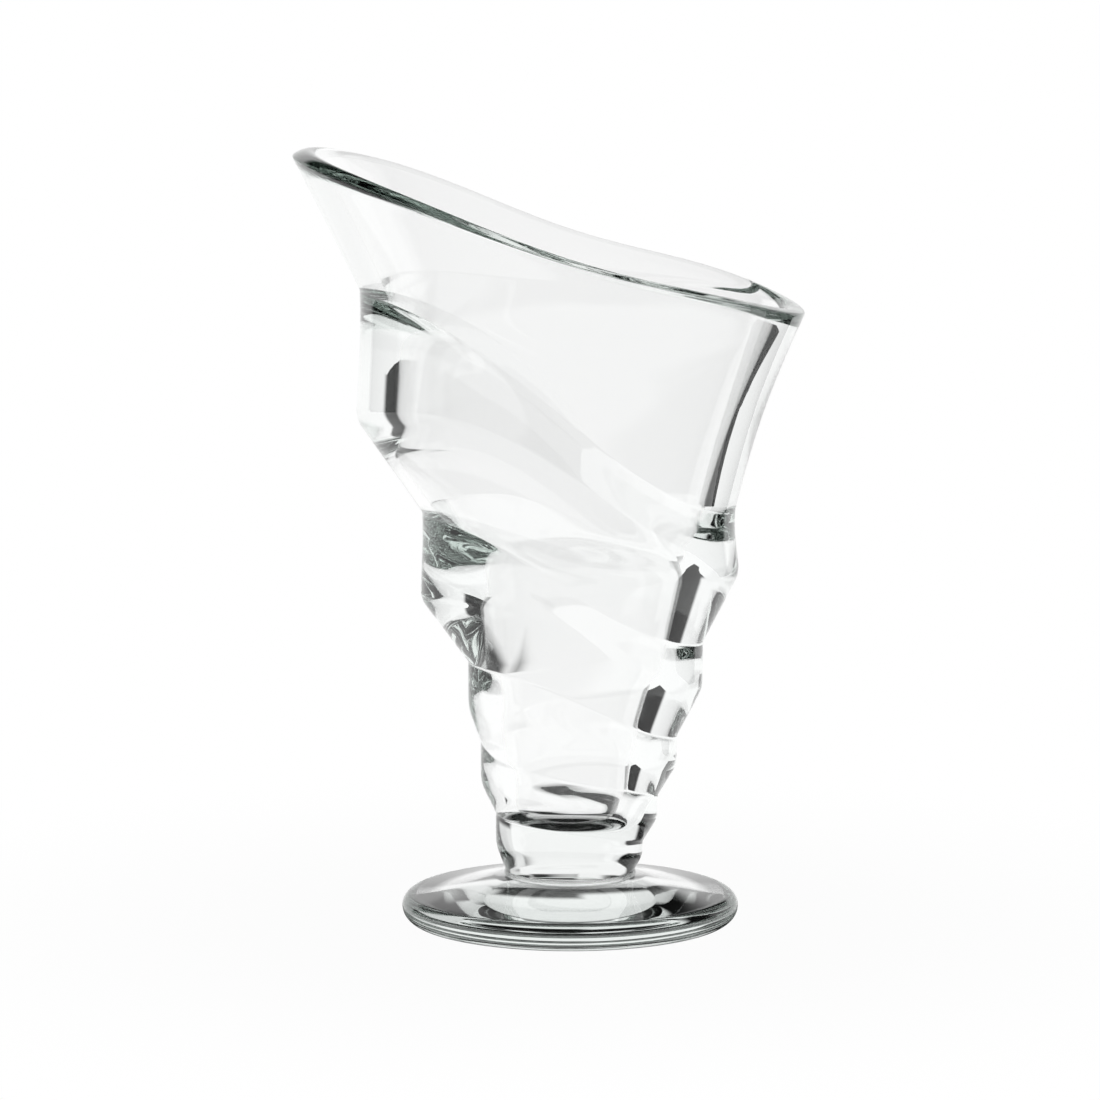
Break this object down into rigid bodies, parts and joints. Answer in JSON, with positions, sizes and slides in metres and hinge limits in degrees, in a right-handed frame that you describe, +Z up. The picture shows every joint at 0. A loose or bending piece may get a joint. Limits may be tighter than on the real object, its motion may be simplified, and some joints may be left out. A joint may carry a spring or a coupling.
{
  "type": "dessert glass",
  "caption": "Clear heavy glass for ice cream and sundaes: a cone bowl that steps down in a spiral, with a slanted mouth, on a round disc foot.",
  "frame": {"origin": "centre of the foot's flat underside, on the surface that the glass stands on", "axes": "+Z up, +X towards the low side of the slanted mouth, -Y towards the side where the steps run down from left to right"},
  "size_m": [0.1141, 0.1126, 0.1745],
  "materials": {
    "clear_glass": "pressed and fire-polished, glossy"
  },
  "bodies": {
    "root": {"foot": "clear_glass", "joint_wafer": "clear_glass", "bowl": "clear_glass"}
  },
  "joints": []
}
